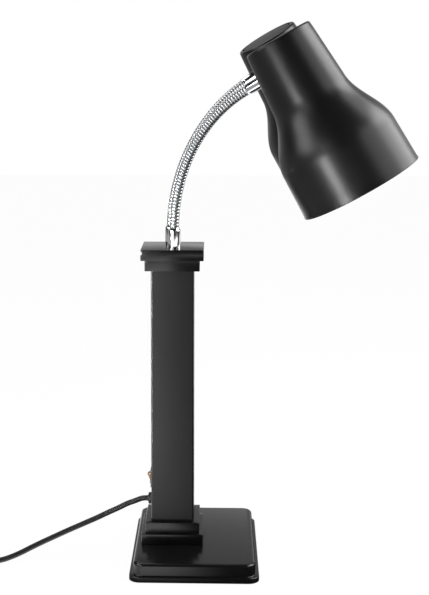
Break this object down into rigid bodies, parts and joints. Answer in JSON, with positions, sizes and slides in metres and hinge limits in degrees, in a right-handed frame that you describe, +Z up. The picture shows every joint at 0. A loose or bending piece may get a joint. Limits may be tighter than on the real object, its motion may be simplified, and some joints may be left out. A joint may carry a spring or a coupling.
{
  "type": "food heat lamp",
  "caption": "Heat lamp that keeps food warm: bell shades with infrared lamps on flexible metal necks, a square column and a weighted base with a rocker switch and a mains cord.",
  "frame": {"origin": "on the column's centre line, at the table that the base's pad stands on", "axes": "+X is the way the necks lean and the long overhang of the base, +Y is towards the back head, +Z is up along the column"},
  "size_m": [0.6511, 0.4493, 0.6991],
  "materials": {
    "gloss_black": "gloss enamel",
    "satin_black": "satin, fine texture",
    "crown_black": "semi-gloss enamel",
    "chrome": "polished",
    "zinc_steel": "zinc plated",
    "cast_iron": "rough casting",
    "foam": "closed-cell foam",
    "black_plastic": "moulded, fine grain",
    "amber_plastic": "translucent, smooth",
    "porcelain": "glazed",
    "ivory_nylon": "moulded",
    "brass": "drawn sheet",
    "nickel": "nickel plated",
    "lamp_glass": "frosted face, mirrored bowl",
    "cord_black": "smooth, slightly glossy",
    "lead_insulation": "smooth",
    "tie_grey": "woven strip"
  },
  "bodies": {
    "root": {"base_pan": "gloss_black", "base_pad": "foam", "bottom_plate": "zinc_steel", "ballast": "cast_iron", "plate_screws": "zinc_steel", "plinth": "gloss_black", "column": "satin_black", "cap": "gloss_black", "top_plate": "zinc_steel", "tie_rod": "zinc_steel", "tie_nuts": "zinc_steel", "switch_body": "black_plastic", "gland": "black_plastic", "gland_nut": "black_plastic", "terminal_block": "ivory_nylon", "earth_stud": "brass", "column_leads": "lead_insulation", "foot_ferrules": "chrome", "foot_nuts": "zinc_steel", "cord_lead": "cord_black", "cord_coil": "cord_black", "cord_tail": "cord_black", "cord_tie": "tie_grey", "plug_body": "black_plastic", "plug_pins": "nickel", "front_hose_1": "chrome", "back_hose_1": "chrome"},
    "rocker": {"rocker": "amber_plastic"},
    "front_neck_low": {"front_hose_2": "chrome"},
    "front_neck_mid": {"front_hose_3": "chrome"},
    "front_neck_high": {"front_hose_4": "chrome"},
    "front_head": {"front_hose_5": "chrome", "front_head_ferrule": "chrome", "front_head_nut": "zinc_steel", "front_shade": "satin_black", "front_crown": "crown_black", "front_bracket": "zinc_steel", "front_lampholder": "porcelain", "front_holder_shell": "brass", "front_lamp_glass": "lamp_glass", "front_lamp_cap": "brass", "front_holder_screws": "zinc_steel"},
    "back_neck_low": {"back_hose_2": "chrome"},
    "back_neck_mid": {"back_hose_3": "chrome"},
    "back_neck_high": {"back_hose_4": "chrome"},
    "back_head": {"back_hose_5": "chrome", "back_head_ferrule": "chrome", "back_head_nut": "zinc_steel", "back_shade": "satin_black", "back_crown": "crown_black", "back_bracket": "zinc_steel", "back_lampholder": "porcelain", "back_holder_shell": "brass", "back_lamp_glass": "lamp_glass", "back_lamp_cap": "brass", "back_holder_screws": "zinc_steel"}
  },
  "joints": [
    {"name": "rocker_tilt", "type": "hinge", "parent": "root", "child": "rocker", "pos_m": [-0.0281, 0, 0.1006], "axis": [0, 1, 0], "range_deg": [0, 28]},
    {"name": "front_bend_lower", "type": "hinge", "parent": "root", "child": "front_neck_low", "pos_m": [0.00395, -0.01628, 0.46137], "axis": [0.6115, 0.7912, 0], "range_deg": [-12, 24]},
    {"name": "front_sway_lower", "type": "hinge", "parent": "front_neck_low", "child": "front_neck_mid", "pos_m": [0.01692, -0.0263, 0.51513], "axis": [0.7157, -0.5532, -0.4262], "range_deg": [-6, 25]},
    {"name": "front_bend_upper", "type": "hinge", "parent": "front_neck_mid", "child": "front_neck_high", "pos_m": [0.04063, -0.04462, 0.56098], "axis": [0.6115, 0.7912, 0], "range_deg": [-12, 24]},
    {"name": "front_sway_upper", "type": "hinge", "parent": "front_neck_high", "child": "front_head", "pos_m": [0.07423, -0.0706, 0.59781], "axis": [0.4302, -0.3325, -0.8392], "range_deg": [-6, 25]},
    {"name": "back_bend_lower", "type": "hinge", "parent": "root", "child": "back_neck_low", "pos_m": [-0.00033, 0.01638, 0.46134], "axis": [-0.575, 0.8181, 0], "range_deg": [-12, 24]},
    {"name": "back_sway_lower", "type": "hinge", "parent": "back_neck_low", "child": "back_neck_mid", "pos_m": [0.0136, 0.02617, 0.51492], "axis": [-0.7387, -0.5192, 0.4297], "range_deg": [-6, 25]},
    {"name": "back_bend_upper", "type": "hinge", "parent": "back_neck_mid", "child": "back_neck_high", "pos_m": [0.03781, 0.04319, 0.56105], "axis": [-0.575, 0.8181, 0], "range_deg": [-12, 24]},
    {"name": "back_sway_upper", "type": "hinge", "parent": "back_neck_high", "child": "back_head", "pos_m": [0.07136, 0.06677, 0.59956], "axis": [-0.4837, -0.34, 0.8065], "range_deg": [-6, 25]}
  ],
  "couplings": [
    {"joint": "front_bend_upper", "follows": "front_bend_lower", "ratio": 1},
    {"joint": "front_sway_upper", "follows": "front_sway_lower", "ratio": 1},
    {"joint": "back_bend_upper", "follows": "back_bend_lower", "ratio": 1},
    {"joint": "back_sway_upper", "follows": "back_sway_lower", "ratio": 1}
  ]
}
